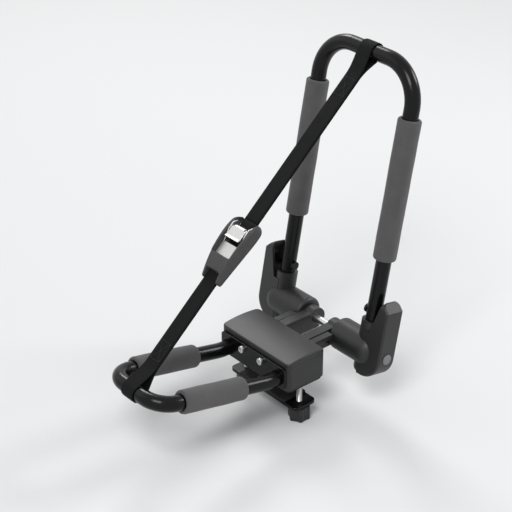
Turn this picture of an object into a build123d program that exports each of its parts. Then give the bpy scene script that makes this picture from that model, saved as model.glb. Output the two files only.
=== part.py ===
"""Folding J shaped carrier for a kayak.

A base is clamped on a roof crossbar. It carries a low hoop, a tall folding hoop and a strap between them.

Millimetres. X runs across the car, from the low hoop to the tall hoop, along the crossbar.
Y runs along the car, front at -Y, and Z is up. The origin is the middle of the crossbar's top face.
"""

import os
from math import atan2, cos, degrees, hypot, radians, sin, tan

from build123d import *

os.makedirs("parts", exist_ok=True)

# Crossbar and clamp
crossbar_height = 28
bolt_spacing = 114
bolt_d = 8
bolt_head_d = 15
bolt_head_height = 6
bolt_seat_z = 26
bolt_end_clear = 4
saddle_pad_thickness = 4
saddle_inset = 2
saddle_hole_gap = 1
clamp_pad_thickness = 3
clamp_plate_thickness = 5
clamp_plate_length = 142
clamp_plate_width = 40
clamp_pad_length = 96
washer_d = 18
washer_thickness = 1.5
knob_d = 32
knob_height = 22
knob_lobes = 6
knob_lobe_d = 9
knob_edge = 2

# Base block
base_length = 144
base_width = 68
base_top = 42
base_corner = 7
cap_edge_height = 5
cap_crown = 3
cap_edge = 2.5
cap_post_d = 8
cap_post_length = 12
cap_post_spacing = 56

# Tube and foam shared by both hoops
tube_d = 22
tube_wall = 2
foam_d = 33
foam_edge = 2.5

# Lower hoop
lower_spacing = 104
lower_leg_z = 20
lower_socket_depth = 22
lower_flat = 6
lower_rise = 12.5
lower_rise_bend = 80
lower_reach = 205
lower_bend = 31
lower_foam_start = 48
lower_foam_length = 106
flange_thickness = 4
flange_length = 136
flange_height = 33
flange_bottom = 7
flange_corner = 6
flange_screw_spacing = 40
flange_screw_d = 6
flange_screw_head_d = 10
flange_screw_head_height = 5
flange_screw_depth = 16
flange_screw_z = 32

# Hinge
hinge_x = 98
hinge_z = 30
shaft_d = 12
shaft_chamfer = 1
ear_inner = 16
ear_thickness = 16
ear_round = 16
hinge_washer_thickness = 1
hinge_washer_d = 26
stop_lug_reach = 29
stop_lug_width = 11
stop_lug_depth = 8
stop_finger_height = 7

# Upper hoop and its elbows
upper_spacing = 180
upper_lean = 10.3
upper_length = 406.5
upper_bend = 55
upper_foam_start = 137.5
upper_foam_length = 202
leg_socket_start = 12
elbow_end = 128
barrel_d = 48
barrel_end = 112
barrel_inner_edge = 5
barrel_outer_edge = 20
wall_height = 83
wall_width = 32
wall_bevel = 11
wall_crown = 9
wall_heel_corner = 32
wall_drop = 35
wall_edge = 3
wall_plate = 6
wall_lip = 4.5
wall_lip_top = 13
wall_lip_low = 34
collar_d = 31
collar_height = 46
collar_drop = 36
collar_bottom_edge = 9
leg_bolt_d = 6
leg_bolt_head_d = 13
leg_bolt_head_height = 4
leg_bolt_height = 58
leg_bolt_cover = 2
shaft_cap_d = 15
shaft_cap_depth = 10
shaft_cap_dome = 2

# Strap, buckle and boot, measured along the strap from the lower hoop's end bar
web_width = 25
web_thickness = 2.2
boot_start = 174
boot_length = 95
boot_low_width = 31
boot_high_width = 46
boot_shoulder = 74
boot_corner = 11
boot_under = 10
boot_low_top = 5
boot_peak_from_boot = 59
boot_peak_top = 15
boot_high_top = 8
boot_edge = 1.5
nose_channel = 14
buckle_bar_from_boot = 40
buckle_bar_d = 4
buckle_width = 34
buckle_length = 52
buckle_sheet = 2
cheek_top = 12.5
cheek_low_top = 7
bridge_length = 19
cam_pin_from_boot = 77
cam_pin_d = 5
cam_pin_height = 7.6
cam_drum_d = 10
cam_width = 19
cam_tab_width = 27
cam_tab_length = 16.5
cam_tab_thickness = 2.4
cam_tab_lip = 4
cam_tab_edge = 0.5
spring_wire_d = 0.8
spring_d = 7.2
spring_pitch = 0.95
spring_turns = 3
grip_tail_from_boot = 60

# Clearances
seat_gap = 0.05
running_gap = 0.05
part_gap = 0.3

# Places worked out from the sizes above
tube_r = tube_d / 2
shaft_r = shaft_d / 2
barrel_r = barrel_d / 2
leg_bolt_depth = elbow_end - leg_bolt_cover - upper_spacing / 2
half_base = base_width / 2
barrel_start = ear_inner + ear_thickness + hinge_washer_thickness + part_gap
clamp_pad_z = -crossbar_height - clamp_pad_thickness
clamp_plate_z = clamp_pad_z - clamp_plate_thickness
washer_z = clamp_plate_z - washer_thickness
knob_top_z = washer_z - part_gap
knob_bottom_z = knob_top_z - knob_height
bolt_end_z = knob_bottom_z + bolt_end_clear
flange_x = -half_base - flange_thickness
rise_corner_x = flange_x - lower_flat - lower_rise_bend * tan(radians(lower_rise / 2))
lower_bar_x = -half_base - lower_reach
lower_bar_z = lower_leg_z + (rise_corner_x - lower_bar_x) * tan(radians(lower_rise))
lean = radians(upper_lean)
top_bar_x = hinge_x + upper_length * sin(lean)
top_bar_z = hinge_z + upper_length * cos(lean)
strap_length = hypot(top_bar_x - lower_bar_x, top_bar_z - lower_bar_z)
strap_angle = atan2(top_bar_z - lower_bar_z, top_bar_x - lower_bar_x)
boot_end = boot_start + boot_length
buckle_bar = boot_start + buckle_bar_from_boot
cam_pin_place = boot_start + cam_pin_from_boot
strap_half = web_thickness + seat_gap

# Frames: the hoop's has Z up its legs, the low leg's has Z out along its slope,
# and the strap's have X up the strap
hoop_frame = Plane(
    origin=(hinge_x, 0, hinge_z),
    x_dir=(cos(lean), 0, -sin(lean)),
    z_dir=(sin(lean), 0, cos(lean)),
)
low_leg_frame = Plane(
    origin=(rise_corner_x, 0, lower_leg_z),
    x_dir=(sin(radians(lower_rise)), 0, cos(radians(lower_rise))),
    z_dir=(-cos(radians(lower_rise)), 0, sin(radians(lower_rise))),
)
strap_face = Plane(
    origin=(lower_bar_x, 0, lower_bar_z),
    x_dir=(cos(strap_angle), 0, sin(strap_angle)),
    z_dir=(-sin(strap_angle), 0, cos(strap_angle)),
)
strap_side = Plane(
    origin=(lower_bar_x, 0, lower_bar_z),
    x_dir=(cos(strap_angle), 0, sin(strap_angle)),
    z_dir=(0, -1, 0),
)


def side_plane(x, y, z):
    """A plane that looks along the car, with its X across the car and its Y up."""
    return Plane(origin=(x, y, z), x_dir=(1, 0, 0), z_dir=(0, -1, 0))


def finish(piece, label):
    piece.part.label = label
    export_step(piece.part, f"parts/{label}.step")


# Base: a moulded block on a rubber saddle, with two ears and two stop fingers towards the hinge
with BuildPart() as saddle_pad:
    with BuildSketch(Plane.XY):
        RectangleRounded(base_width - 2 * saddle_inset, base_length - 2 * saddle_inset, base_corner)
        with GridLocations(0, bolt_spacing, 1, 2):
            Circle(bolt_d / 2 + saddle_hole_gap, mode=Mode.SUBTRACT)
    extrude(amount=saddle_pad_thickness)
finish(saddle_pad, "saddle_pad")

with BuildPart() as base_body:
    with BuildSketch(Plane.XY.offset(saddle_pad_thickness)):
        RectangleRounded(base_width, base_length, base_corner)
    extrude(amount=base_top - saddle_pad_thickness)
    for side in (-1, 1):
        with BuildSketch(side_plane(0, side * (ear_inner + ear_thickness / 2), 0)):
            with BuildLine():
                Polyline(
                    (half_base - base_corner, hinge_z - ear_round),
                    (hinge_x, hinge_z - ear_round),
                    (hinge_x, hinge_z),
                    (hinge_x, base_top),
                    (half_base - base_corner, base_top),
                    close=True,
                )
            make_face()
            with Locations((hinge_x, hinge_z)):
                Circle(ear_round)
        extrude(amount=ear_thickness / 2, both=True)
        finger_end = hinge_x - barrel_r - part_gap
        finger_z = hinge_z + stop_lug_depth / 2 + part_gap
        with BuildSketch(Plane.XY.offset(finger_z)):
            with Locations(((half_base - base_corner + finger_end) / 2, side * barrel_start)):
                finger_length = finger_end - half_base + base_corner
                align = (Align.CENTER, Align.MIN if side > 0 else Align.MAX)
                Rectangle(finger_length, stop_lug_width, align=align)
        extrude(amount=stop_finger_height)
    with Locations((0, 0, base_top)):
        with GridLocations(0, bolt_spacing, 1, 2):
            CounterBoreHole(bolt_d / 2 + seat_gap, bolt_head_d / 2 + part_gap, base_top - bolt_seat_z)
        with GridLocations(0, cap_post_spacing, 1, 2):
            Hole(cap_post_d / 2 + seat_gap, cap_post_length + part_gap)
    with BuildSketch(Plane.YZ.offset(-half_base)):
        with Locations((0, lower_leg_z)):
            with GridLocations(lower_spacing, 0, 2, 1):
                Circle(tube_r + seat_gap)
    extrude(amount=lower_socket_depth, mode=Mode.SUBTRACT)
    with BuildSketch(Plane.YZ.offset(-half_base)):
        with Locations((0, flange_screw_z)):
            with GridLocations(flange_screw_spacing, 0, 2, 1):
                Circle(flange_screw_d / 2 + seat_gap)
    extrude(amount=flange_screw_depth, mode=Mode.SUBTRACT)
    with BuildSketch(side_plane(hinge_x, 0, hinge_z)):
        Circle(shaft_r + seat_gap)
    extrude(amount=base_length, both=True, mode=Mode.SUBTRACT)
finish(base_body, "base_body")

# Cap: a moulded lid with a gently crowned top, held by two posts pressed into the block
with BuildPart() as base_cap:
    with BuildSketch(side_plane(0, 0, base_top)):
        with BuildLine():
            Polyline(
                (half_base, cap_edge_height),
                (half_base, 0),
                (-half_base, 0),
                (-half_base, cap_edge_height),
            )
            ThreePointArc(
                (-half_base, cap_edge_height),
                (0, cap_edge_height + cap_crown),
                (half_base, cap_edge_height),
            )
        make_face()
    extrude(amount=base_length / 2, both=True)
    fillet(base_cap.edges().filter_by(Axis.Z), base_corner)
    fillet(base_cap.faces().sort_by(Axis.Z)[-1].edges(), cap_edge)
    with BuildSketch(Plane.XY.offset(base_top)):
        with GridLocations(0, cap_post_spacing, 1, 2):
            Circle(cap_post_d / 2)
    extrude(amount=-cap_post_length)
finish(base_cap, "base_cap")

# Clamp: a steel plate with a rubber pad, drawn up under the crossbar by two bolts with hand knobs
with BuildPart() as clamp_pad:
    with BuildSketch(Plane.XY.offset(clamp_pad_z)):
        Rectangle(clamp_plate_width, clamp_pad_length)
    extrude(amount=clamp_pad_thickness)
finish(clamp_pad, "clamp_pad")

with BuildPart() as clamp_plate:
    with BuildSketch(Plane.XY.offset(clamp_plate_z)):
        RectangleRounded(clamp_plate_width, clamp_plate_length, base_corner)
        with GridLocations(0, bolt_spacing, 1, 2):
            Circle(bolt_d / 2 + seat_gap, mode=Mode.SUBTRACT)
    extrude(amount=clamp_plate_thickness)
finish(clamp_plate, "clamp_plate")

with BuildPart() as clamp_bolts:
    with BuildSketch(Plane.XY.offset(bolt_seat_z)):
        with GridLocations(0, bolt_spacing, 1, 2):
            RegularPolygon(bolt_head_d / 2, 6)
    extrude(amount=bolt_head_height)
    with BuildSketch(Plane.XY.offset(bolt_end_z)):
        with GridLocations(0, bolt_spacing, 1, 2):
            Circle(bolt_d / 2)
    extrude(amount=bolt_seat_z - bolt_end_z)
finish(clamp_bolts, "clamp_bolts")

with BuildPart() as clamp_washers:
    with BuildSketch(Plane.XY.offset(washer_z)):
        with GridLocations(0, bolt_spacing, 1, 2):
            Circle(washer_d / 2)
            Circle(bolt_d / 2 + seat_gap, mode=Mode.SUBTRACT)
    extrude(amount=washer_thickness)
finish(clamp_washers, "clamp_washers")


def make_knob(side):
    """A lobed hand knob, threaded on the lower end of one clamp bolt."""
    with BuildPart() as knob:
        with BuildSketch(Plane.XY.offset(knob_bottom_z)):
            with Locations((0, side * bolt_spacing / 2)):
                Circle(knob_d / 2 - knob_lobe_d / 4)
                with PolarLocations(knob_d / 2 - knob_lobe_d / 2, knob_lobes):
                    Circle(knob_lobe_d / 2)
        extrude(amount=knob_height)
        fillet(knob.faces().sort_by(Axis.Z)[0].edges(), knob_edge)
        with Locations((0, side * bolt_spacing / 2, knob_top_z)):
            Hole(bolt_d / 2 + running_gap, knob_top_z - bolt_end_z + running_gap)
    return knob


for side, end in ((-1, "front"), (1, "rear")):
    finish(make_knob(side), f"clamp_knob_{end}")

# Lower hoop: a bent tube that leaves the block level, then rises to its end bar
with BuildPart() as lower_tube:
    with BuildLine() as lower_path:
        half = lower_spacing / 2
        FilletPolyline(
            (-half_base + lower_socket_depth, -half, lower_leg_z),
            (rise_corner_x, -half, lower_leg_z),
            (lower_bar_x, -half, lower_bar_z),
            (lower_bar_x, half, lower_bar_z),
            (rise_corner_x, half, lower_leg_z),
            (-half_base + lower_socket_depth, half, lower_leg_z),
            radius=(lower_rise_bend, lower_bend, lower_bend, lower_rise_bend),
        )
    with BuildSketch(Plane(origin=lower_path.line @ 0, z_dir=lower_path.line % 0)):
        Circle(tube_r)
        Circle(tube_r - tube_wall, mode=Mode.SUBTRACT)
    sweep()
finish(lower_tube, "lower_hoop_tube")

with BuildPart() as flange:
    with BuildSketch(Plane.YZ.offset(flange_x)):
        with Locations((0, flange_bottom + flange_height / 2)):
            RectangleRounded(flange_length, flange_height, flange_corner)
        with Locations((0, lower_leg_z)):
            with GridLocations(lower_spacing, 0, 2, 1):
                Circle(tube_r + seat_gap, mode=Mode.SUBTRACT)
        with Locations((0, flange_screw_z)):
            with GridLocations(flange_screw_spacing, 0, 2, 1):
                Circle(flange_screw_d / 2 + seat_gap, mode=Mode.SUBTRACT)
    extrude(amount=flange_thickness)
finish(flange, "lower_flange")

with BuildPart() as flange_screws:
    with BuildSketch(Plane.YZ.offset(flange_x)):
        with Locations((0, flange_screw_z)):
            with GridLocations(flange_screw_spacing, 0, 2, 1):
                Circle(flange_screw_head_d / 2)
    extrude(amount=-flange_screw_head_height)
    with BuildSketch(Plane.YZ.offset(flange_x - flange_screw_head_height)):
        with Locations((0, flange_screw_z)):
            with GridLocations(flange_screw_spacing, 0, 2, 1):
                RegularPolygon(flange_screw_d / 2, 6)
    extrude(amount=flange_screw_head_height / 2, mode=Mode.SUBTRACT)
    with BuildSketch(Plane.YZ.offset(flange_x)):
        with Locations((0, flange_screw_z)):
            with GridLocations(flange_screw_spacing, 0, 2, 1):
                Circle(flange_screw_d / 2)
    extrude(amount=flange_thickness + flange_screw_depth - part_gap)
finish(flange_screws, "flange_screws")


def make_foam(frame, start, length, y):
    """A foam sleeve on one leg, with softened ends."""
    with BuildPart() as foam:
        with BuildSketch(frame.offset(start)):
            with Locations((0, y)):
                Circle(foam_d / 2)
        extrude(amount=length)
        fillet(foam.edges(), foam_edge)
        with BuildSketch(frame.offset(start)):
            with Locations((0, y)):
                Circle(tube_r + seat_gap)
        extrude(amount=length, mode=Mode.SUBTRACT)
    return foam


for side, end in ((-1, "front"), (1, "rear")):
    finish(
        make_foam(low_leg_frame, lower_foam_start, lower_foam_length, side * lower_spacing / 2),
        f"lower_foam_{end}",
    )
    finish(
        make_foam(hoop_frame, upper_foam_start, upper_foam_length, side * upper_spacing / 2),
        f"upper_foam_{end}",
    )

# Hinge: one shaft held in the ears, with a washer beside each ear
shaft_half = elbow_end - shaft_cap_depth - part_gap
with BuildPart() as hinge_shaft:
    with BuildSketch(side_plane(hinge_x, 0, hinge_z)):
        Circle(shaft_r)
    extrude(amount=shaft_half, both=True)
    chamfer(hinge_shaft.edges().filter_by(GeomType.CIRCLE), shaft_chamfer)
finish(hinge_shaft, "hinge_shaft")

with BuildPart() as hinge_washers:
    for side in (-1, 1):
        with BuildSketch(side_plane(hinge_x, side * (ear_inner + ear_thickness), hinge_z)):
            Circle(hinge_washer_d / 2)
            Circle(shaft_r + seat_gap, mode=Mode.SUBTRACT)
        extrude(amount=-side * hinge_washer_thickness)
finish(hinge_washers, "hinge_washers")


# Upper hoop: a tall bent tube whose legs stand in two moulded elbows on the hinge
hoop_axis = Axis(hoop_frame.origin, hoop_frame.z_dir)


def make_wall(side):
    """The channel outside one leg: a plate with a round crown, and two lips that slope to the collar."""
    leg = upper_spacing / 2
    along_leg = Plane(origin=hoop_frame.origin, x_dir=(0, side, 0), z_dir=hoop_frame.x_dir * side)
    across_leg = Plane(origin=hoop_frame.origin, x_dir=hoop_frame.x_dir, z_dir=(0, -1, 0))
    lip_top_y = elbow_end - wall_lip_top
    plate_y = elbow_end - wall_plate
    with BuildPart() as wall:
        with BuildSketch(along_leg) as outline:
            with BuildLine():
                Polyline(
                    (leg, -wall_drop),
                    (elbow_end, -wall_drop),
                    (elbow_end, wall_height - wall_bevel),
                    (elbow_end - wall_bevel, wall_height),
                    (leg, wall_height),
                    close=True,
                )
            make_face()
            fillet(outline.vertices().group_by(Axis.Y)[0].sort_by(Axis.X)[-1], wall_heel_corner)
        extrude(amount=wall_width / 2, both=True)
        with BuildSketch(across_leg) as crown:
            with Locations((0, -wall_drop)):
                Rectangle(wall_width, wall_drop + wall_height, align=(Align.CENTER, Align.MIN))
            fillet(crown.vertices().group_by(Axis.Y)[-1], wall_crown)
        extrude(amount=elbow_end, both=True, mode=Mode.INTERSECT)
        heel_plate_bevel = wall.faces().sort_by(Axis((0, 0, 0), (0, side, 0)))[-3:]
        across = Axis(hoop_frame.origin, hoop_frame.x_dir)
        fillet(heel_plate_bevel.edges().filter_by(across, reverse=True), wall_edge)
        with BuildSketch(along_leg):
            with BuildLine():
                Polyline(
                    (leg, wall_lip_low),
                    (leg + tube_r, wall_lip_low),
                    (lip_top_y, wall_height),
                    (leg, wall_height),
                    close=True,
                )
            make_face()
        extrude(amount=wall_width / 2, both=True, mode=Mode.SUBTRACT)
        with BuildSketch(along_leg):
            with BuildLine():
                Polyline(
                    (leg, collar_height),
                    (plate_y, collar_height),
                    (plate_y, wall_height - wall_bevel - wall_plate),
                    (lip_top_y, wall_height),
                    (leg, wall_height),
                    close=True,
                )
            make_face()
        extrude(amount=wall_width / 2 - wall_lip, both=True, mode=Mode.SUBTRACT)
    return wall


def make_collar(side):
    """The round socket that holds one leg, with a softened lower end."""
    with BuildPart() as collar:
        with BuildSketch(hoop_frame.offset(-collar_drop)):
            with Locations((0, side * upper_spacing / 2)):
                Circle(collar_d / 2)
        extrude(amount=collar_drop + collar_height)
        fillet(collar.faces().sort_by(hoop_axis)[0].edges(), collar_bottom_edge)
    return collar


def make_elbow(side):
    """A hinge barrel crossed by a round leg socket, with a tall wall outside the leg."""
    leg_y = side * upper_spacing / 2
    with BuildPart() as elbow:
        with BuildSketch(side_plane(hinge_x, side * barrel_start, hinge_z)):
            Circle(barrel_r)
        extrude(amount=-side * (barrel_end - barrel_start))
        for outward, edge in ((side, barrel_outer_edge), (-side, barrel_inner_edge)):
            rims = elbow.edges().filter_by(GeomType.CIRCLE)
            fillet(rims.sort_by(Axis((0, 0, 0), (0, outward, 0)))[-1], edge)
        add(make_wall(side).part)
        add(make_collar(side).part)
        with BuildSketch(side_plane(hinge_x, side * barrel_start, hinge_z)):
            Rectangle(stop_lug_reach, stop_lug_depth, align=(Align.MAX, Align.CENTER))
        extrude(amount=-side * stop_lug_width)
        with BuildSketch(hoop_frame.offset(leg_socket_start)):
            with Locations((0, leg_y)):
                Circle(tube_r + seat_gap)
        extrude(amount=wall_height, mode=Mode.SUBTRACT)
        with BuildSketch(side_plane(hinge_x, 0, hinge_z)):
            Circle(shaft_r + running_gap)
        extrude(amount=-side * 2 * elbow_end, mode=Mode.SUBTRACT)
        with BuildSketch(side_plane(hinge_x, side * elbow_end, hinge_z)):
            Circle(shaft_cap_d / 2 + seat_gap)
        extrude(amount=side * shaft_cap_depth, mode=Mode.SUBTRACT)
        bolt_plane = Plane(
            origin=hoop_frame.from_local_coords((0, leg_y, leg_bolt_height)),
            x_dir=hoop_frame.x_dir,
            z_dir=(0, side, 0),
        )
        with BuildSketch(bolt_plane):
            Circle(leg_bolt_d / 2 + seat_gap)
        extrude(amount=leg_bolt_depth + part_gap, mode=Mode.SUBTRACT)
    return elbow


for side, end in ((-1, "front"), (1, "rear")):
    finish(make_elbow(side), f"elbow_{end}")

with BuildPart() as upper_tube:
    with BuildLine(hoop_frame) as upper_path:
        half = upper_spacing / 2
        FilletPolyline(
            (0, -half, leg_socket_start),
            (0, -half, upper_length),
            (0, half, upper_length),
            (0, half, leg_socket_start),
            radius=upper_bend,
        )
    with BuildSketch(Plane(origin=upper_path.line @ 0, z_dir=upper_path.line % 0)):
        Circle(tube_r)
        Circle(tube_r - tube_wall, mode=Mode.SUBTRACT)
    sweep()
    with BuildSketch(
        Plane(
            origin=hoop_frame.from_local_coords((0, 0, leg_bolt_height)),
            x_dir=hoop_frame.x_dir,
            z_dir=(0, 1, 0),
        )
    ):
        Circle(leg_bolt_d / 2 + seat_gap)
    extrude(amount=upper_spacing, both=True, mode=Mode.SUBTRACT)
finish(upper_tube, "upper_hoop_tube")

with BuildPart() as leg_bolts:
    for side in (-1, 1):
        bolt_plane = Plane(
            origin=hoop_frame.from_local_coords((0, side * (upper_spacing / 2 - tube_r), leg_bolt_height)),
            x_dir=hoop_frame.x_dir,
            z_dir=(0, side, 0),
        )
        with BuildSketch(bolt_plane):
            Circle(leg_bolt_head_d / 2)
        extrude(amount=-leg_bolt_head_height)
        with BuildSketch(bolt_plane):
            Circle(leg_bolt_d / 2)
        extrude(amount=tube_r + leg_bolt_depth)
finish(leg_bolts, "leg_bolts")

with BuildPart() as shaft_caps:
    for side in (-1, 1):
        with BuildSketch(side_plane(hinge_x, side * (elbow_end - shaft_cap_depth), hinge_z)):
            Circle(shaft_cap_d / 2)
        extrude(amount=-side * (shaft_cap_depth + shaft_cap_dome))
    fillet(shaft_caps.faces().sort_by(Axis.Y)[0].edges(), shaft_cap_dome)
    fillet(shaft_caps.faces().sort_by(Axis.Y)[-1].edges(), shaft_cap_dome)
finish(shaft_caps, "shaft_caps")


# Strap: webbing with a sewn eye round each hoop's end bar, joined by a cam buckle in a rubber boot
def web_run(start, end, eyes):
    """Two layers of webbing between two places on the strap, with an eye round each bar in eyes."""
    with BuildPart() as web:
        with BuildSketch(strap_side):
            with Locations(((start + end) / 2, 0)):
                Rectangle(end - start, 2 * web_thickness)
            for place, bar_r in eyes:
                with Locations((place, 0)):
                    Circle(bar_r + running_gap + web_thickness)
            for place, bar_r in eyes:
                with Locations((place, 0)):
                    Circle(bar_r + running_gap, mode=Mode.SUBTRACT)
        extrude(amount=web_width / 2, both=True)
    return web


lower_eyes = ((0, tube_r), (buckle_bar, buckle_bar_d / 2))
finish(web_run(tube_r, buckle_bar, lower_eyes), "strap_lower_web")
finish(web_run(boot_start + grip_tail_from_boot, boot_end, ()), "strap_grip_web")
finish(web_run(boot_end + part_gap, strap_length - tube_r, ((strap_length, tube_r),)), "strap_upper_web")

with BuildPart() as buckle_frame:
    cheek_low = boot_start + buckle_bar_from_boot - buckle_bar_d
    cheek_high = cheek_low + buckle_length
    for side in (-1, 1):
        with BuildSketch(strap_side.offset(side * (buckle_width - buckle_sheet) / 2)):
            with BuildLine():
                Polyline(
                    (cheek_low, -strap_half - buckle_sheet),
                    (cheek_high, -strap_half - buckle_sheet),
                    (cheek_high, cheek_low_top),
                    (cam_pin_place + cam_drum_d / 2, cheek_top),
                    (cam_pin_place - cam_drum_d / 2, cheek_top),
                    (cheek_low + bridge_length, cheek_low_top),
                    (cheek_low, cheek_low_top),
                    close=True,
                )
            make_face()
        extrude(amount=buckle_sheet / 2, both=True)
    with BuildSketch(strap_face.offset(-strap_half - buckle_sheet)):
        with Locations((cheek_high, 0)):
            floor_length = cheek_high - boot_start - grip_tail_from_boot
            Rectangle(floor_length, buckle_width, align=(Align.MAX, Align.CENTER))
    extrude(amount=buckle_sheet)
    with BuildSketch(strap_face.offset(cheek_low_top - buckle_sheet)):
        with Locations((cheek_low, 0)):
            Rectangle(bridge_length, buckle_width, align=(Align.MIN, Align.CENTER))
    extrude(amount=buckle_sheet)
    with BuildSketch(strap_side):
        with Locations((buckle_bar, 0)):
            Circle(buckle_bar_d / 2)
    extrude(amount=buckle_width / 2, both=True)
    with BuildSketch(strap_side):
        with Locations((cam_pin_place, cam_pin_height)):
            Circle(cam_pin_d / 2 + seat_gap)
    extrude(amount=buckle_width, both=True, mode=Mode.SUBTRACT)
finish(buckle_frame, "buckle_frame")

with BuildPart() as cam_pin:
    with BuildSketch(strap_side):
        with Locations((cam_pin_place, cam_pin_height)):
            Circle(cam_pin_d / 2)
    extrude(amount=buckle_width / 2, both=True)
finish(cam_pin, "cam_pin")

with BuildPart() as cam_lever:
    with BuildSketch(strap_side):
        with Locations((cam_pin_place, cam_pin_height)):
            Circle(cam_drum_d / 2)
    extrude(amount=cam_width / 2, both=True)
    tab_top = cam_pin_height + cam_drum_d / 2
    tab_end = cam_pin_place - cam_tab_length
    with BuildSketch(strap_side):
        with BuildLine():
            FilletPolyline(
                (cam_pin_place, tab_top),
                (tab_end + cam_tab_lip, tab_top),
                (tab_end, tab_top + cam_tab_lip / 2),
                (tab_end, tab_top + cam_tab_lip / 2 - cam_tab_thickness),
                (tab_end + cam_tab_lip, tab_top - cam_tab_thickness),
                (cam_pin_place, tab_top - cam_tab_thickness),
                radius=(cam_tab_lip, cam_tab_edge, cam_tab_edge, cam_tab_lip),
            )
            Line((cam_pin_place, tab_top - cam_tab_thickness), (cam_pin_place, tab_top))
        make_face()
    extrude(amount=cam_tab_width / 2, both=True)
    with BuildSketch(strap_side):
        with Locations((cam_pin_place, cam_pin_height)):
            Circle(cam_pin_d / 2 + running_gap)
    extrude(amount=buckle_width, both=True, mode=Mode.SUBTRACT)
    for side in (-1, 1):
        with BuildSketch(strap_side.offset(side * cam_width / 2)):
            with Locations((cam_pin_place, cam_pin_height)):
                Circle(spring_d / 2 + part_gap)
        extrude(amount=side * cam_width, mode=Mode.SUBTRACT)
finish(cam_lever, "cam_lever")

spring_radius = (spring_d - spring_wire_d) / 2
with BuildPart() as cam_springs:
    for side in (-1, 1):
        coil_y = side * (cam_width / 2 + part_gap + spring_wire_d / 2)
        with BuildLine():
            coil = Helix(
                pitch=spring_pitch,
                height=spring_pitch * spring_turns,
                radius=spring_radius,
                center=strap_face.from_local_coords((cam_pin_place, coil_y, cam_pin_height)),
                direction=(0, side, 0),
            )
        with BuildSketch(Plane(origin=coil @ 0, z_dir=coil % 0)):
            Circle(spring_wire_d / 2)
        sweep(path=coil, is_frenet=True)
finish(cam_springs, "cam_springs")

with BuildPart() as boot:
    with BuildSketch(strap_side):
        with BuildLine():
            Polyline(
                (boot_start, boot_low_top),
                (boot_start, -boot_under),
                (boot_end, -boot_under),
                (boot_end, boot_high_top),
            )
            ThreePointArc(
                (boot_end, boot_high_top),
                (boot_start + boot_peak_from_boot, boot_peak_top),
                (boot_start, boot_low_top),
            )
        make_face()
    extrude(amount=boot_high_width, both=True)
    with BuildSketch(strap_face.offset(-boot_under)) as boot_plan:
        with BuildLine():
            Polyline(
                (boot_start, boot_low_width / 2),
                (boot_start + boot_shoulder, boot_high_width / 2),
                (boot_end, boot_high_width / 2),
                (boot_end, -boot_high_width / 2),
                (boot_start + boot_shoulder, -boot_high_width / 2),
                (boot_start, -boot_low_width / 2),
                close=True,
            )
        make_face()
        fillet(boot_plan.vertices().sort_by(Axis.X)[-2:], boot_corner)
    extrude(amount=boot_under + 2 * boot_peak_top, mode=Mode.INTERSECT)
    fillet(boot.edges().filter_by(Axis.Y, reverse=True), boot_edge)
    with BuildSketch(strap_face.offset(-strap_half - buckle_sheet - seat_gap)):
        with Locations((cheek_low - part_gap, 0)):
            Rectangle(boot_length, buckle_width + 2 * part_gap, align=(Align.MIN, Align.CENTER))
    extrude(amount=3 * boot_peak_top, mode=Mode.SUBTRACT)
    with BuildSketch(strap_face.offset(-strap_half)):
        with Locations((boot_start - boot_edge, 0)):
            Rectangle(boot_length, web_width + 2 * part_gap, align=(Align.MIN, Align.CENTER))
    extrude(amount=2 * strap_half, mode=Mode.SUBTRACT)
    with BuildSketch(strap_face):
        with Locations((boot_start + nose_channel, 0)):
            channel_length = nose_channel + boot_edge
            Rectangle(channel_length, web_width + 2 * part_gap, align=(Align.MAX, Align.CENTER))
    extrude(amount=boot_peak_top, mode=Mode.SUBTRACT)
finish(boot, "buckle_boot")

print(f"strap {strap_length:.1f} mm at {degrees(strap_angle):.1f} degrees")
print(f"lower bar {lower_bar_x:.1f} {lower_bar_z:.1f}, top bar {top_bar_x:.1f} {top_bar_z:.1f}")
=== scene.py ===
"""The looks of a folding J shaped kayak carrier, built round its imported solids, in metres."""

from math import acos, atan2, cos, hypot, pi, radians, sin

import bmesh
import bpy
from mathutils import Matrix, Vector, noise


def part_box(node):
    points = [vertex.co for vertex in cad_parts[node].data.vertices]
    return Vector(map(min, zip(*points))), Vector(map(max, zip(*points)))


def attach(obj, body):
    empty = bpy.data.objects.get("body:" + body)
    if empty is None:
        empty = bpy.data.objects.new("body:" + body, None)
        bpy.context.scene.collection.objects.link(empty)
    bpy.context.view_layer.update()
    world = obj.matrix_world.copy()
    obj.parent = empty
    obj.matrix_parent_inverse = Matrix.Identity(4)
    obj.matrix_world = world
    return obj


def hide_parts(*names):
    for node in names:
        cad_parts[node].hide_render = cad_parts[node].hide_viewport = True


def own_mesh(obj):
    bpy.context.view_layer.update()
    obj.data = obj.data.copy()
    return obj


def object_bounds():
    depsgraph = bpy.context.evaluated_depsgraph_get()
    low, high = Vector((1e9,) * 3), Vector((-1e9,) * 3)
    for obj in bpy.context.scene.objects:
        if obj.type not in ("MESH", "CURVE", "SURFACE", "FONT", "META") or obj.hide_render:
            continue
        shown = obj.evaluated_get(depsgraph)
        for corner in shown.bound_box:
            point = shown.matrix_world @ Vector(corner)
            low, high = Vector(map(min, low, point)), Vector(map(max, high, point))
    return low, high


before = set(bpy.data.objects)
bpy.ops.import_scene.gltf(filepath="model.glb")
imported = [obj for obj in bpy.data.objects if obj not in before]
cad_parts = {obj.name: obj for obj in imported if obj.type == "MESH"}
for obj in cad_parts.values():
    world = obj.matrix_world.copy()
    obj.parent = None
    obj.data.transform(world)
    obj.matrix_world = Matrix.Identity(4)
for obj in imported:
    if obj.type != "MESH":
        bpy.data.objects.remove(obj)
cad_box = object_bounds()

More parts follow.
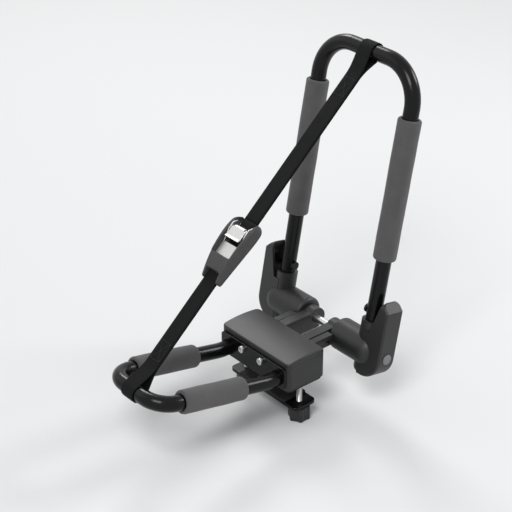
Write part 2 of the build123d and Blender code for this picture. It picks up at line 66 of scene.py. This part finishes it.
# Studio: a pale paper floor under soft lamps, which fades into a pale backdrop far from the carrier.
# The camera stands where the picture was taken, in front of the carrier, to its left and above it.
camera_place = Vector((-1.1497, -1.3238, 1.1582))
camera_aim = Vector((-0.031, 0, 0.187))
camera_lens = 104
floor_half = 30
floor_colour = (0.80, 0.80, 0.80, 1)
floor_fade = (0.9, 3.2)
sky_colour = (0.94, 0.97, 1, 1)
sky_strength = 0.32
backdrop_colour = (0.85, 0.85, 0.85, 1)
dark = (0, 0, 0, 1)
lamps = (
    ("key_lamp", (-1.5, -1.0, 2.3), 1.1, 40),
    ("side_lamp", (2.1, -0.9, 1.5), 0.9, 28),
    ("back_lamp", (0.9, 1.9, 1.9), 0.9, 26),
    ("far_lamp", (-1.3, 1.7, 1.7), 1.9, 6),
)


class Wire:
    """One socket in a finish. Sums on it add Math nodes, and node() adds any other kind."""

    def __init__(self, tree, socket=None):
        self.tree = tree
        self.socket = socket

    def node(self, kind, settings=None, inputs=None, output=0):
        """Adds a node, with its settings first and then the values or links of its inputs."""
        made = self.tree.nodes.new(kind)
        for name, value in (settings or {}).items():
            setattr(made, name, value)
        for name, value in (inputs or {}).items():
            self.feed(made.inputs[name], value)
        return Wire(self.tree, made.outputs[output])

    def feed(self, socket, value):
        """Links a wire to an input, or sets the input to a plain value."""
        if isinstance(value, Wire):
            self.tree.links.new(value.socket, socket)
        else:
            socket.default_value = value

    def beside(self, output):
        """Another output of the node that this wire comes from."""
        return Wire(self.tree, self.socket.node.outputs[output])

    def maths(self, operation, first, second=0.0):
        return self.node("ShaderNodeMath", {"operation": operation}, {0: first, 1: second})

    def __add__(self, other):
        return self.maths("ADD", self, other)

    def __sub__(self, other):
        return self.maths("SUBTRACT", self, other)

    def __rsub__(self, other):
        return self.maths("SUBTRACT", other, self)

    def __mul__(self, other):
        return self.maths("MULTIPLY", self, other)

    def __pow__(self, other):
        return self.maths("POWER", self, other)

    def __rpow__(self, other):
        return self.maths("POWER", other, self)

    __radd__ = __add__
    __rmul__ = __mul__


def start_finish(name, constants):
    """A new material, a wire that adds nodes to it, and its shader with these constant sockets."""
    material = bpy.data.materials.new(name)
    material.use_nodes = True
    shader = material.node_tree.nodes["Principled BSDF"]
    for socket, value in constants.items():
        shader.inputs[socket].default_value = value
    return material, Wire(material.node_tree), shader


def tint(wire, share, first, second):
    """A colour between two others, with this share of the second."""
    colours = {"Factor": share, 6: first, 7: second}
    return wire.node("ShaderNodeMix", {"data_type": "RGBA"}, colours, output=2)


def shown(wire):
    """1 where a surface is seen, also in metal or through glass, and 0 where it only lights others."""
    rays = wire.node("ShaderNodeLightPath")
    straight = rays.beside("Is Camera Ray")
    return straight + rays.beside("Is Glossy Ray") + rays.beside("Is Transmission Ray")


def floor_paper():
    """Paper that gives way to the backdrop's colour in the distance, so that no edge shows."""
    constants = {"Specular IOR Level": 0.0, "Emission Strength": 1.0}
    material, wire, shader = start_finish("floor_paper", constants)
    place = wire.node("ShaderNodeTexCoord", output="Object")
    away = wire.node("ShaderNodeVectorMath", {"operation": "LENGTH"}, {0: place}, output="Value")
    far = wire.node(
        "ShaderNodeMapRange",
        {"interpolation_type": "SMOOTHSTEP"},
        {"Value": away, "From Min": floor_fade[0], "From Max": floor_fade[1]},
    )
    fade = shown(wire) * far
    wire.feed(shader.inputs["Base Color"], tint(wire, fade, floor_colour, dark))
    wire.feed(shader.inputs["Emission Color"], tint(wire, fade, dark, backdrop_colour))
    return material


def make_mesh(name, points, faces, finish, smooth=True):
    """A new piece from points and faces, all with one finish."""
    mesh = bpy.data.meshes.new(name)
    mesh.from_pydata([tuple(point) for point in points], [], faces)
    shaped = bmesh.new()
    shaped.from_mesh(mesh)
    bmesh.ops.recalc_face_normals(shaped, faces=shaped.faces)
    shaped.to_mesh(mesh)
    shaped.free()
    mesh.materials.append(finish)
    mesh.polygons.foreach_set("use_smooth", [smooth] * len(mesh.polygons))
    mesh.update()
    piece = bpy.data.objects.new(name, mesh)
    bpy.context.scene.collection.objects.link(piece)
    return piece


corners = ((-1, -1), (1, -1), (1, 1), (-1, 1))
floor_corners = [(x * floor_half, y * floor_half, cad_box[0].z) for x, y in corners]
floor = make_mesh("floor", floor_corners, [(0, 1, 2, 3)], floor_paper(), smooth=False)

world = bpy.data.worlds.new("studio")
bpy.context.scene.world = world
world.use_nodes = True
backdrop = Wire(world.node_tree)
sky = backdrop.node("ShaderNodeBackground", {}, {"Color": sky_colour, "Strength": sky_strength})
pale = backdrop.node("ShaderNodeBackground", {}, {"Color": backdrop_colour, "Strength": 1.0})
both = backdrop.node("ShaderNodeMixShader", {}, {0: shown(backdrop), 1: sky, 2: pale})
backdrop.feed(world.node_tree.nodes["World Output"].inputs["Surface"], both)

for lamp_name, lamp_place, lamp_width, lamp_power in lamps:
    lamp = bpy.data.lights.new(lamp_name, "AREA")
    lamp.size = lamp_width
    lamp.energy = lamp_power
    holder = bpy.data.objects.new(lamp_name, lamp)
    bpy.context.scene.collection.objects.link(holder)
    holder.location = lamp_place
    holder.rotation_euler = (camera_aim - Vector(lamp_place)).to_track_quat("-Z", "Y").to_euler()

camera = bpy.data.objects.new("camera", bpy.data.cameras.new("camera"))
bpy.context.scene.collection.objects.link(camera)
camera.data.lens = camera_lens
camera.location = camera_place
camera.rotation_euler = (camera_aim - camera_place).to_track_quat("-Z", "Y").to_euler()
bpy.context.scene.camera = camera
bpy.context.scene.view_settings.view_transform = "Standard"

# Saddle and clamp pads: moulded black rubber, which grips from above and below as the clamp closes.
# One is bonded under the base and the other on the clamp plate.
patch_detail = 4.0
rubber_edge = 0.0006
weld_reach = 1e-6
flat_angle = radians(0.5)
hard_angle = radians(35)
edge_steps = 2


def emboss(wire, shader, height, depth):
    """Presses a pattern of heights from 0 to 1 into a finish, this many metres deep."""
    bump = wire.node("ShaderNodeBump", {}, {"Height": height, "Distance": depth, "Strength": 1.0})
    wire.feed(shader.inputs["Normal"], bump)


def mottle(wire, place, patches, colours):
    """A soft mix of two near colours, with so many patches to the metre."""
    inputs = {"Vector": place, "Scale": patches, "Detail": patch_detail}
    return tint(wire, wire.node("ShaderNodeTexNoise", {}, inputs), *colours)


def grained_finish(name, constants, colours, patches, grain, roughness, relief=0, detail=2.0):
    """A mottled finish with a fine grain that shifts its gloss between two values.

    Patches and grain are counts to the metre, and relief is the depth of the grain in metres.
    """
    material, wire, shader = start_finish(name, constants)
    place = wire.node("ShaderNodeTexCoord", output="Object")
    wire.feed(shader.inputs["Base Color"], mottle(wire, place, patches, colours))
    grains = wire.node("ShaderNodeTexNoise", {}, {"Vector": place, "Scale": grain, "Detail": detail})
    smoothest, roughest = roughness
    wire.feed(shader.inputs["Roughness"], grains * (roughest - smoothest) + smoothest)
    if relief:
        emboss(wire, shader, grains, relief)
    return material


def dress(node, finish):
    """Gives a solid its finish."""
    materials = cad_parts[node].data.materials
    materials.clear()
    materials.append(finish)


def soften(node, width):
    """Rounds a solid's hard edges, as its mould or a deburring tool left them."""
    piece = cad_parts[node]
    piece.modifiers.new("join", "WELD").merge_threshold = weld_reach
    flat = piece.modifiers.new("flat", "DECIMATE")
    flat.decimate_type = "DISSOLVE"
    flat.angle_limit = flat_angle
    edge = piece.modifiers.new("edge", "BEVEL")
    edge.width = width
    edge.segments = edge_steps
    edge.limit_method = "ANGLE"
    edge.angle_limit = hard_angle
    edge.use_clamp_overlap = False
    piece.modifiers.new("shade", "WEIGHTED_NORMAL").keep_sharp = False


rubber = grained_finish(
    "pad_rubber",
    {"Specular IOR Level": 0.35},
    colours=((0.010, 0.010, 0.010, 1), (0.022, 0.022, 0.022, 1)),
    patches=120.0,
    grain=1500.0,
    roughness=(0.65, 0.85),
    relief=0.00012,
)
for node in ("saddle_pad", "clamp_pad"):
    dress(node, rubber)
    soften(node, rubber_edge)

# Clamp plate: a flat steel strip, cut to length and painted satin black.
# The two clamp bolts pass through it and their knobs draw it up to the base.
plate_edge = 0.0006


def satin_paint(name, peel, relief):
    """Black powder coat: dark and half glossy, with a fine orange peel."""
    return grained_finish(
        name,
        {"Specular IOR Level": 0.2},
        colours=((0.0030, 0.0030, 0.0033, 1), (0.0055, 0.0055, 0.0058, 1)),
        patches=60.0,
        grain=peel,
        roughness=(0.15, 0.25),
        relief=relief,
    )


plate_paint = satin_paint("plate_paint", peel=700.0, relief=0.00008)
dress("clamp_plate", plate_paint)
soften("clamp_plate", plate_edge)

# Clamp bolts and washers: bright zinc plated steel. Each bolt hangs by its hexagon head
# in the base, and its rolled thread shows between the saddle and the clamp plate.
bolt_r = 0.004
thread_depth = 0.0006
thread_pitch = 0.00125
thread_steps = 6
bolt_sides = 36
bolt_head_r = 0.0075
bolt_head_height = 0.006


def skin(rings, closed):
    """Faces that join rings of as many points each, with both ends shut unless the rings close."""
    count = len(rings[0])
    points = [point for ring in rings for point in ring]
    faces = []
    for row in range(len(rings) if closed else len(rings) - 1):
        below, above = row * count, (row + 1) % len(rings) * count
        for step in range(count):
            after = (step + 1) % count
            faces.append((below + step, below + after, above + after, above + step))
    if not closed:
        faces.append(tuple(reversed(range(count))))
        faces.append(tuple(range(len(points) - count, len(points))))
    return points, faces


def bolt_ring(centre, z, radius_at):
    """Points round a bolt at one height, at the radius that it has there."""
    turns = [2 * pi * side / bolt_sides for side in range(bolt_sides)]
    return [
        Vector((centre.x + radius_at(turn) * cos(turn), centre.y + radius_at(turn) * sin(turn), z))
        for turn in turns
    ]


def threaded_bolt(name, centre, head_z, end_z, finish):
    """A hexagon head bolt with a rolled thread from below its head to its end."""

    def thread_at(z):
        def radius_at(turn):
            place = (z / thread_pitch + turn / (2 * pi)) % 1
            return bolt_r - thread_depth * abs(2 * place - 1)

        return radius_at

    def hexagon(turn):
        return bolt_head_r * cos(pi / 6) / cos((turn % (pi / 3)) - pi / 6)

    rows = int((head_z - end_z) / thread_pitch * thread_steps)
    heights = [end_z + (head_z - end_z) * row / rows for row in range(rows + 1)]
    rings = [bolt_ring(centre, z, thread_at(z)) for z in heights]
    rings.append(bolt_ring(centre, head_z, hexagon))
    rings.append(bolt_ring(centre, head_z + bolt_head_height, hexagon))
    points, faces = skin(rings, closed=False)
    return make_mesh(name, points, faces, finish, smooth=False)


zinc = grained_finish(
    "zinc_plate",
    {"Metallic": 1.0},
    colours=((0.50, 0.51, 0.52, 1), (0.66, 0.66, 0.65, 1)),
    patches=300.0,
    grain=900.0,
    roughness=(0.24, 0.44),
    detail=3.0,
)
for node in ("clamp_washers", "hinge_shaft", "hinge_washers", "cam_pin", "cam_springs"):
    dress(node, zinc)
bolt_low, bolt_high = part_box("clamp_bolts")
bolt_seat_z = bolt_high.z - bolt_head_height
for end in ("front", "rear"):
    knob_low, knob_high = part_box(f"clamp_knob_{end}")
    knob_middle = (knob_low + knob_high) / 2
    bolt = threaded_bolt(f"clamp_bolt_{end}", knob_middle, bolt_seat_z, bolt_low.z, zinc)
    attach(bolt, "base")
    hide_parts("clamp_bolts")

# Hand knobs, base block and cap, elbows: black glass filled nylon with a fine spark eroded grain.
# The cap is pressed on the block, the knobs are moulded round a brass nut, and the elbows
# turn on the hinge shaft and keep the full rounding of their solids.
mould_edge = 0.0008

nylon = grained_finish(
    "moulded_nylon",
    {"Specular IOR Level": 0.5},
    colours=((0.0090, 0.0090, 0.0095, 1), (0.0150, 0.0150, 0.0158, 1)),
    patches=40.0,
    grain=1100.0,
    roughness=(0.36, 0.56),
    relief=0.00014,
    detail=3.0,
)
for node in ("clamp_knob_front", "clamp_knob_rear", "base_body", "base_cap"):
    dress(node, nylon)
    soften(node, mould_edge)
for node in ("elbow_front", "elbow_rear"):
    dress(node, nylon)

# Hoops: round steel tube, bent cold and powder coated black. The low hoop is clamped in the base
# by a flange plate and two socket screws, and the tall one stands in the elbows, held by two bolts.
tube_r = 0.011

tube_paint = satin_paint("tube_paint", peel=520.0, relief=0.00010)
for node in ("lower_hoop_tube", "upper_hoop_tube"):
    dress(node, tube_paint)
for node, finish in (("lower_flange", plate_paint), ("flange_screws", zinc), ("leg_bolts", plate_paint)):
    dress(node, finish)
    soften(node, plate_edge)
tall_low, tall_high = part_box("upper_hoop_tube")
low_low, low_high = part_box("lower_hoop_tube")
top_bar = Vector((tall_high.x - tube_r, 0, tall_high.z - tube_r))
low_bar = Vector((low_low.x + tube_r, 0, low_high.z - tube_r))

# Shaft caps: small round buttons of grey plastic, with a low dome.
# They are pressed in the elbows' outer ends and hide the ends of the hinge shaft.
cap_plastic = grained_finish(
    "cap_plastic",
    {"Specular IOR Level": 0.5},
    colours=((0.16, 0.16, 0.16, 1), (0.22, 0.22, 0.22, 1)),
    patches=200.0,
    grain=900.0,
    roughness=(0.35, 0.50),
)
dress("shaft_caps", cap_plastic)

# Foam sleeves: grey closed cell foam, extruded as a thick tube and slid on each leg before bending.
# The skin is soft and finely pitted, a little uneven, with rounded ends.
foam_colours = ((0.078, 0.075, 0.076, 1), (0.112, 0.108, 0.109, 1))
foam_patches = 55.0
foam_cells = 900.0
foam_speckles = 350.0
foam_smoothest = 0.72
foam_roughening = 0.2
foam_relief = 0.00035
foam_r = 0.0165
foam_round = 0.0035
foam_round_steps = 6
foam_bore = tube_r + 0.0002
foam_bore_inset = 0.001
foam_lump = 0.00035
foam_lump_size = 0.03
foam_sides = 72
foam_step = 0.004
lower_sleeve_length = 0.106
upper_sleeve_length = 0.202


def closed_cell_foam():
    constants = {"Specular IOR Level": 0.25, "Sheen Weight": 0.15, "Sheen Roughness": 0.5}
    material, wire, shader = start_finish("closed_cell_foam", constants)
    place = wire.node("ShaderNodeTexCoord", output="Object")
    wire.feed(shader.inputs["Base Color"], mottle(wire, place, foam_patches, foam_colours))
    cells = wire.node("ShaderNodeTexVoronoi", {}, {"Vector": place, "Scale": foam_cells})
    inputs = {"Vector": place, "Scale": foam_speckles, "Detail": patch_detail}
    speckle = wire.node("ShaderNodeTexNoise", {}, inputs)
    wire.feed(shader.inputs["Roughness"], speckle * foam_roughening + foam_smoothest)
    emboss(wire, shader, cells * 0.5 + speckle * 0.5, foam_relief)
    return material


def foam_profile(length):
    """The sleeve's section as (along, radius) places: rounded end, outside, rounded end, bore."""
    half = length / 2
    straight = length - 2 * foam_round
    angles = [radians(90) * step / foam_round_steps for step in range(foam_round_steps + 1)]
    corner = [(foam_round * (1 - sin(a)), foam_r - foam_round * (1 - cos(a))) for a in angles]
    low_end = [(-half + inset, radius) for inset, radius in reversed(corner)]
    high_end = [(half - inset, radius) for inset, radius in corner]
    steps = int(straight / foam_step)
    outside = [(-half + foam_round + straight * step / steps, foam_r) for step in range(1, steps)]
    bore = [(half - foam_bore_inset, foam_bore), (-half + foam_bore_inset, foam_bore)]
    return low_end + outside + high_end + bore


def foam_sleeve(name, node, bar, length, finish):
    """One sleeve, turned about its leg, which points from the sleeve's middle to the hoop's end bar."""
    low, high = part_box(node)
    middle = (low + high) / 2
    axis = (Vector((bar.x, middle.y, bar.z)) - middle).normalized()
    across = Vector((0, 1, 0))
    over = axis.cross(across)
    rings = []
    for along, radius in foam_profile(length):
        ring = []
        for side in range(foam_sides):
            turn = 2 * pi * side / foam_sides
            ray = across * cos(turn) + over * sin(turn)
            point = middle + axis * along + ray * radius
            if radius > foam_bore:
                point += ray * foam_lump * (noise.noise(point / foam_lump_size) - 0.5)
            ring.append(point)
        rings.append(ring)
    points, faces = skin(rings, closed=True)
    return make_mesh(name, points, faces, finish)


foam = closed_cell_foam()
for hoop, body, bar, length in (
    ("lower", "base", low_bar, lower_sleeve_length),
    ("upper", "upper_hoop", top_bar, upper_sleeve_length),
):
    for end in ("front", "rear"):
        sleeve = foam_sleeve(f"{hoop}_sleeve_{end}", f"{hoop}_foam_{end}", bar, length, foam)
        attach(sleeve, body)
        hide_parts(f"{hoop}_foam_{end}")

# Strap: flat black polyester webbing, doubled, with an eye sewn round each hoop's end bar.
# The lower length is looped through the buckle, and the upper one is gripped by its cam.
# Places along the strap are measured from the low hoop's end bar.
web_width = 0.025
web_thickness = 0.0021
web_layer = 0.00118
web_gap = 0.0002
web_step = 0.004
web_shares = (-1, -0.985, -0.94, -0.86, -0.6, -0.3, 0, 0.3, 0.6, 0.86, 0.94, 0.985, 1)
web_edge_power = 14
# Webbing colours: the darker one is painted shade in the hollows of the weave, the lighter one is for
# the crests.
web_hollow_shade_colours = ((0.0035, 0.0040, 0.0036, 1), (0.0085, 0.0095, 0.0088, 1))
web_float = 0.0022
web_yarn = 0.00125
web_first_yarn = 100.0
web_dip = 0.4
web_fullness = 0.6
web_roughest = 0.85
web_shine = 0.2
web_relief = 0.0004
eye_join = 0.034
eye_ease = 0.3
eye_steps = 6
eye_least_turns = 12
eye_turn_step = 0.0012
strap_run = top_bar - low_bar
strap_length = strap_run.length
strap_along = strap_run.normalized()
strap_out = Vector((-strap_along.z, 0, strap_along.x))
boot_start = 0.174
boot_length = 0.095
buckle_bar = boot_start + 0.040
buckle_bar_r = 0.002
bar_join = 0.012
grip_start = boot_start + 0.060
web_seam = boot_start + boot_length
thread_r = 0.00036
thread_sides = 8
stitch_length = 0.0029
stitch_pitch = 0.0038
stitch_shares = (-1, -0.75, -0.4, 0, 0.4, 0.75, 1)
stitch_rise = 0.5
stitch_dive = 1.4
sewing_start = 0.0476
sewing_width = 0.018
sewing_length = 0.028


def strap_point(along, off, y):
    """A point by its place up the strap from the low bar, its height off the strap and its Y."""
    return low_bar + strap_along * along + strap_out * off + Vector((0, y, 0))


def woven_web():
    """A tight plain weave, in which each yarn lies half a float behind its neighbour, with painted shade
    in its hollows.
    """
    material, wire, shader = start_finish("woven_web", {"Specular IOR Level": 0.12})
    place = wire.node("ShaderNodeAttribute", {"attribute_name": "web_place"}, output="Vector")
    split = wire.node("ShaderNodeSeparateXYZ", {}, {0: place})
    along, across = split.beside("X"), split.beside("Y")
    yarn = across * (1 / web_yarn) + web_first_yarn
    stagger = wire.maths("MODULO", wire.maths("FLOOR", yarn), 2.0) * (pi / 2)
    float_hump = wire.maths("ABSOLUTE", wire.maths("SINE", along * (pi / web_float) + stagger))
    yarn_hump = wire.maths("ABSOLUTE", wire.maths("SINE", yarn * pi))
    weave = (float_hump * (1 - web_dip) + web_dip) * yarn_hump ** web_fullness
    # The colour follows the weave's height: painted shade darkens the hollows between yarns and floats,
    # and the crests stay lighter.
    wire.feed(shader.inputs["Base Color"], tint(wire, weave, *web_hollow_shade_colours))
    wire.feed(shader.inputs["Roughness"], web_roughest - weave * web_shine)
    emboss(wire, shader, weave, web_relief)
    return material


def corner_curve(before, corner, after):
    """Places on a smooth curve that leaves one place towards a corner and ends at another."""
    curve = []
    for step in range(eye_steps + 1):
        t = step / eye_steps
        first, second, third = (1 - t) ** 2, 2 * t * (1 - t), t * t
        trios = zip(before, corner, after)
        curve.append(tuple(first * a + second * b + third * c for a, b, c in trios))
    return curve


def eye_path(centre, bar_r, toward, join):
    """The webbing's middle line round a bar: down its upper layer, round the bar, up its lower one."""
    turn_r = bar_r + web_gap + web_thickness / 2
    reach = hypot(join, web_layer)
    leave = atan2(web_layer, join) + acos(turn_r / reach)
    tangent = (turn_r * cos(leave), turn_r * sin(leave))
    near = (join + (tangent[0] - join) * eye_ease, web_layer + (tangent[1] - web_layer) * eye_ease)
    far = (join + join * eye_ease, web_layer)
    upper = corner_curve(far, (join, web_layer), near)
    sweep = 2 * (pi - leave)
    steps = max(eye_least_turns, int(sweep * turn_r / eye_turn_step))
    arc = [leave + sweep * step / steps for step in range(steps + 1)]
    path = upper + [(turn_r * cos(angle), turn_r * sin(angle)) for angle in arc]
    path += [(along, -off) for along, off in reversed(upper)]
    return [(centre + toward * along, toward * off) for along, off in path]


def run_path(start, end, off):
    """Evenly spaced places on a straight layer between two ends, without the ends."""
    steps = max(2, int(abs(end - start) / web_step))
    return [(start + (end - start) * step / steps, off) for step in range(1, steps)]


def web_section():
    """The band's section as (across, height) places: flat, with rounded selvedges."""
    half, thick = web_width / 2, web_thickness / 2
    top = [(half * share, thick * (1 - abs(share) ** web_edge_power) ** 0.5) for share in web_shares]
    return top + [(across, -height) for across, height in reversed(top[1:-1])]


def web_band(name, path, closed, finish):
    """Webbing swept along a path of (along, off) places in the strap's plane."""
    section = web_section()
    rings, places = [], []
    travelled = 0
    for step, (along, off) in enumerate(path):
        ahead = path[(step + 1) % len(path)] if closed or step + 1 < len(path) else path[step]
        behind = path[step - 1] if closed or step else path[step]
        heading = Vector((ahead[0] - behind[0], ahead[1] - behind[1])).normalized()
        travelled += hypot(along - path[step - 1][0], off - path[step - 1][1]) if step else 0
        ring = []
        for across, height in section:
            ring.append(strap_point(along - heading.y * height, off + heading.x * height, across))
            places.append((travelled, across, height))
        rings.append(ring)
    points, faces = skin(rings, closed)
    piece = make_mesh(name, points, faces, finish)
    stored = piece.data.attributes.new("web_place", "FLOAT_VECTOR", "POINT")
    stored.data.foreach_set("vector", [value for place in places for value in place])
    return piece


def stitch_row(start, end):
    """Middles and headings of the stitches in one row between two (along, across) places."""
    run = Vector(end) - Vector(start)
    count = round(run.length / stitch_pitch)
    return [(Vector(start) + run * (step + 0.5) / count, run.normalized()) for step in range(count)]


def sewn_box(name, first, last, finish):
    """A box and a cross of lock stitches through both layers, between two places along the strap."""
    half = sewing_width / 2
    corners = [(first, -half), (last, -half), (last, half), (first, half)]
    rows = [(corners[index - 1], corners[index]) for index in range(4)]
    rows += [(corners[0], corners[2]), (corners[1], corners[3])]
    stitches = [stitch for start, end in rows for stitch in stitch_row(start, end)]
    surface = web_layer + web_thickness / 2
    turns = [2 * pi * side / thread_sides for side in range(thread_sides)]
    points, faces = [], []
    for upper in (1, -1):
        for middle, heading in stitches:
            aside = Vector((-heading.y, heading.x))
            rings = []
            for share in stitch_shares:
                centre = middle + heading * share * stitch_length / 2
                lift = surface + thread_r * (stitch_rise - stitch_dive * share ** 4)
                ring = []
                for turn in turns:
                    place = centre + aside * thread_r * cos(turn)
                    ring.append(strap_point(place.x, upper * (lift + thread_r * sin(turn)), place.y))
                rings.append(ring)
            stitch_points, stitch_faces = skin(rings, closed=False)
            faces += [tuple(len(points) + index for index in corner) for corner in stitch_faces]
            points += stitch_points
    return make_mesh(name, points, faces, finish)


web = woven_web()
thread = grained_finish(
    "sewn_thread",
    {"Specular IOR Level": 0.3},
    colours=((0.014, 0.014, 0.014, 1), (0.026, 0.026, 0.026, 1)),
    patches=2500.0,
    grain=4000.0,
    roughness=(0.5, 0.7),
    relief=0.00006,
)

low_eye = eye_path(0, tube_r, 1, eye_join)
bar_eye = eye_path(buckle_bar, buckle_bar_r, -1, bar_join)
lower_path = low_eye + run_path(low_eye[-1][0], bar_eye[0][0], -web_layer) + bar_eye
lower_path += run_path(bar_eye[-1][0], low_eye[0][0], web_layer)
lower_web = web_band("lower_webbing", lower_path, True, web)
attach(lower_web, "strap")
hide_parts("strap_lower_web")
low_sewing = sewn_box("lower_sewing", sewing_start, sewing_start + sewing_length, thread)
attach(low_sewing, "strap")

grip_turns = (radians(90), pi, radians(270))
grip_path = [(web_seam, web_layer)] + run_path(web_seam, grip_start, web_layer)
grip_path += [(grip_start + web_layer * cos(turn), web_layer * sin(turn)) for turn in grip_turns]
grip_path += run_path(grip_start, web_seam, -web_layer) + [(web_seam, -web_layer)]
grip_web = web_band("gripped_webbing", grip_path, False, web)
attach(grip_web, "strap")
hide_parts("strap_grip_web")

top_eye = eye_path(strap_length, tube_r, -1, eye_join)
upper_start = web_seam + web_gap
upper_path = [(upper_start, -web_layer)] + run_path(upper_start, top_eye[0][0], -web_layer) + top_eye
upper_path += run_path(top_eye[-1][0], upper_start, web_layer) + [(upper_start, web_layer)]
upper_web = web_band("upper_webbing", upper_path, False, web)
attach(upper_web, "upper_hoop")
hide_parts("strap_upper_web")
sewing_end = strap_length - sewing_start
top_sewing = sewn_box("upper_sewing", sewing_end - sewing_length, sewing_end, thread)
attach(top_sewing, "upper_hoop")

# Buckle: a cam buckle of cast zinc with a satin nickel plate, its edges tumbled smooth.
# The thumb tab is one piece with the cam, which turns on a pin through both cheeks.
buckle_edge = 0.0005

nickel = grained_finish(
    "nickel_plate",
    {"Metallic": 1.0},
    colours=((0.50, 0.50, 0.49, 1), (0.64, 0.64, 0.63, 1)),
    patches=250.0,
    grain=700.0,
    roughness=(0.36, 0.56),
    relief=0.00005,
    detail=3.0,
)
for node in ("buckle_frame", "cam_lever"):
    dress(node, nickel)
    soften(node, buckle_edge)

# Boot: a soft grey rubber cup, moulded in one piece, that pads the buckle and is open above the cam.
# The webbing enters by a slot in its narrow end and leaves at its open end, and so holds it in place.
# Its sections stand at places measured from the narrow end.
boot_low_half = 0.0155
boot_high_half = 0.023
boot_shoulder = 0.074
boot_corner = 0.011
boot_under = -0.010
boot_tops = ((0.0, 0.005), (0.059, 0.015), (0.095, 0.008))
boot_tip_round = 0.008
boot_rim = 0.0017
boot_bottom_round = 0.005
boot_lip = 0.0012
boot_crease = 0.0005
boot_round_cut = 0.3
boot_half_points = 9
boot_levels = 2
pocket_half = 0.0173
pocket_floor = -0.0043
pocket_start = 0.0357
pocket_round = 0.0012
pocket_lip_drop = 0.0006
pocket_places = (0.042, 0.049, 0.056, 0.063, 0.070, 0.076)
pocket_end_places = (0.081, 0.085, 0.088, 0.0905, 0.0925, 0.0938)
channel_half = 0.0128
channel_floor = -0.00225
channel_end = 0.014
channel_places = (boot_lip, 0.005, 0.010)
roof_places = (0.020, 0.026, 0.031)


def boot_top(place):
    """Height of the rim at a place along the boot: a curve through three heights, with a round tip."""
    total = 0
    for index, (knot, height) in enumerate(boot_tops):
        term = height
        for other, (far, _) in enumerate(boot_tops):
            if other != index:
                term *= (place - far) / (knot - far)
        total += term
    into = max(0, place - (boot_length - boot_tip_round))
    return total - boot_tip_round + (boot_tip_round ** 2 - into ** 2) ** 0.5


def boot_half(place):
    """Half the boot's width at a place along it, drawn in round the corners of its wide end."""
    half = boot_low_half + (boot_high_half - boot_low_half) * min(1, place / boot_shoulder)
    into = place - (boot_length - boot_corner)
    if into > 0:
        half -= boot_corner - (boot_corner ** 2 - into ** 2) ** 0.5
    return half


def cup_ring(place, tuck, inside, bed):
    """Half of an open section of the cup, from its middle below: side, rim, inside wall and bed."""
    half, top, under = boot_half(place) - tuck, boot_top(place) - tuck, boot_under + tuck
    low, foot, cut = boot_bottom_round, pocket_round, boot_round_cut
    rim = min(boot_rim, (half - inside) / 2)
    return [
        (0, under),
        (half * 0.5, under),
        (half - low, under),
        (half - low * cut, under + low * cut),
        (half, under + low),
        (half, (under + top) / 2),
        (half, top - rim),
        (half - rim * cut, top - rim * cut),
        (half - rim, top),
        (inside + rim, top),
        (inside + rim * cut, top - rim * cut),
        (inside, top - rim),
        (inside, (bed + top) / 2),
        (inside, bed + foot),
        (inside - foot * cut, bed + foot * cut),
        (inside - foot, bed),
        (inside * 0.5, bed),
        (0, bed),
    ]


def roof_ring(place):
    """Half of a closed section, where the boot bridges the webbing, with as many points."""
    outer = cup_ring(place, 0, 0, 0)[:boot_half_points]
    edge, top = outer[-1]
    shares = [step / boot_half_points for step in range(1, boot_half_points + 1)]
    return outer + [(edge * (1 - share), top) for share in shares]


def pocket_side(place):
    """Half the width of the pocket at a place, kept a rim inside the boot."""
    return min(pocket_half, boot_half(place) - boot_rim)


def boot_sections():
    """All the sections, from the nose's open channel, over its roof and the pocket, to the open end."""
    near, wide = boot_crease, 3 * boot_crease
    sections = [(0, cup_ring(0, boot_lip, channel_half, channel_floor))]
    for place in (*channel_places, channel_end - wide, channel_end - near):
        sections.append((place, cup_ring(place, 0, channel_half, channel_floor)))
    ends = (pocket_start - wide, pocket_start - near)
    for place in (channel_end + near, channel_end + wide, *roof_places, *ends):
        sections.append((place, roof_ring(place)))
    for place in (pocket_start + near, pocket_start + wide, *pocket_places, *pocket_end_places):
        sections.append((place, cup_ring(place, 0, pocket_side(place), pocket_floor)))
    last = pocket_end_places[-1]
    shut = cup_ring(last, boot_lip, pocket_side(last), pocket_floor - pocket_lip_drop)
    sections.append((boot_length, shut))
    return sections


def boot_mesh():
    """Points and faces of the boot, with each end shut by a strip between its outside and its inside."""
    rings = []
    for place, section in boot_sections():
        whole = section + [(-y, off) for y, off in reversed(section[1:-1])]
        rings.append([strap_point(boot_start + place, off, y) for y, off in whole])
    points, faces = skin(rings, closed=False)
    count, last = len(rings[0]), len(rings[0]) // 2
    faces = faces[:-2]
    for first in (0, len(points) - count):
        for step in range(last // 2):
            ring = (step, step + 1, last - step - 1, last - step)
            mirrored = [(count - index) % count for index in reversed(ring)]
            for quad in (ring, mirrored):
                corners = [first + index for index in quad]
                faces.append(tuple(corners if first else reversed(corners)))
    return points, faces


boot_rubber = grained_finish(
    "boot_rubber",
    {"Specular IOR Level": 0.35},
    colours=((0.046, 0.044, 0.045, 1), (0.070, 0.067, 0.069, 1)),
    patches=90.0,
    grain=1300.0,
    roughness=(0.5, 0.7),
    relief=0.00012,
    detail=3.0,
)
boot_points, boot_faces = boot_mesh()
boot = make_mesh("strap_boot", boot_points, boot_faces, boot_rubber)
rounding = boot.modifiers.new("smooth", "SUBSURF")
rounding.levels = rounding.render_levels = boot_levels
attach(boot, "strap")
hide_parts("buckle_boot")

# Folding: the upper webbing is held by its eye on the tall hoop's end bar and by the cam.
# Here the upper webbing and its sewing are only given meshes of their own.
for piece in (upper_web, top_sewing):
    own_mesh(piece)
